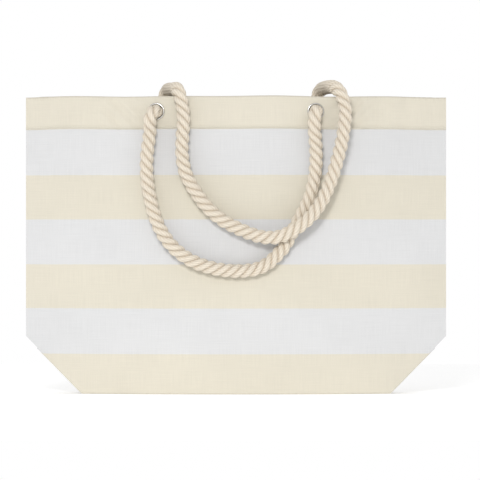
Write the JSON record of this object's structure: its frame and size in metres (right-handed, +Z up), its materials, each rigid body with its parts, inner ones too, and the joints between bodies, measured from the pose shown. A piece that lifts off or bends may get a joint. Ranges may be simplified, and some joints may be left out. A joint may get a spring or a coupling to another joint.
{
  "type": "beach bag",
  "caption": "Wide boxed-bottom canvas beach tote in broad stripes, with hemmed mouth, metal eyelets and knotted thick rope handles.",
  "frame": {"origin": "on the floor under the middle of the bag, without its handles", "axes": "+X along the width to the bag's right as seen from the front, -Y out of the front wall, +Z up"},
  "size_m": [0.54, 0.1447, 0.4014],
  "materials": {
    "striped_canvas": "plain-weave cotton canvas in broad natural and white stripes, matt",
    "hem_canvas": "the same cotton canvas, natural colour, a band folded over the top edge and stitched down",
    "seam_allowance": "overlocked raw edges of the canvas",
    "care_label": "blank woven ribbon",
    "nickel": "nickel-plated steel, bright with a slight haze",
    "cotton_rope": "soft undyed cotton rope laid from three strands, matt"
  },
  "bodies": {
    "bag": {"front_panel": "striped_canvas", "back_panel": "striped_canvas", "front_hem": "hem_canvas", "back_hem": "hem_canvas", "left_side_seam": "seam_allowance", "right_side_seam": "seam_allowance", "bottom_seam": "seam_allowance", "left_corner_seam": "seam_allowance", "right_corner_seam": "seam_allowance", "care_label": "care_label", "front_left_eyelet": "nickel", "front_right_eyelet": "nickel", "rear_left_eyelet": "nickel", "rear_right_eyelet": "nickel", "front_left_washer": "nickel", "front_right_washer": "nickel", "rear_left_washer": "nickel", "rear_right_washer": "nickel", "front_left_knot": "cotton_rope", "front_right_knot": "cotton_rope", "rear_left_knot": "cotton_rope", "rear_right_knot": "cotton_rope"},
    "front_handle": {"front_handle_rope": "cotton_rope"},
    "rear_handle_bend": {"rear_handle_left_bend": "cotton_rope", "rear_handle_right_bend": "cotton_rope"},
    "rear_handle": {"rear_handle_rope": "cotton_rope"}
  },
  "joints": [
    {"name": "rear_handle_lift", "type": "hinge", "parent": "bag", "child": "rear_handle_bend", "pos_m": [0, 0.05333, 0.3628], "axis": [-1, 0, 0], "range_deg": [0, 90]},
    {"name": "rear_handle_unbend", "type": "hinge", "parent": "rear_handle_bend", "child": "rear_handle", "pos_m": [0, -0.05233, 0.383], "axis": [-1, 0, 0], "range_deg": [0, 90]},
    {"name": "front_handle_swing", "type": "hinge", "parent": "bag", "child": "front_handle", "pos_m": [0, -0.05333, 0.3608], "axis": [-1, 0, 0], "range_deg": [0, 180]}
  ],
  "couplings": [
    {"joint": "rear_handle_unbend", "follows": "rear_handle_lift", "ratio": 1},
    {"joint": "front_handle_swing", "follows": "rear_handle_lift", "ratio": 2}
  ]
}
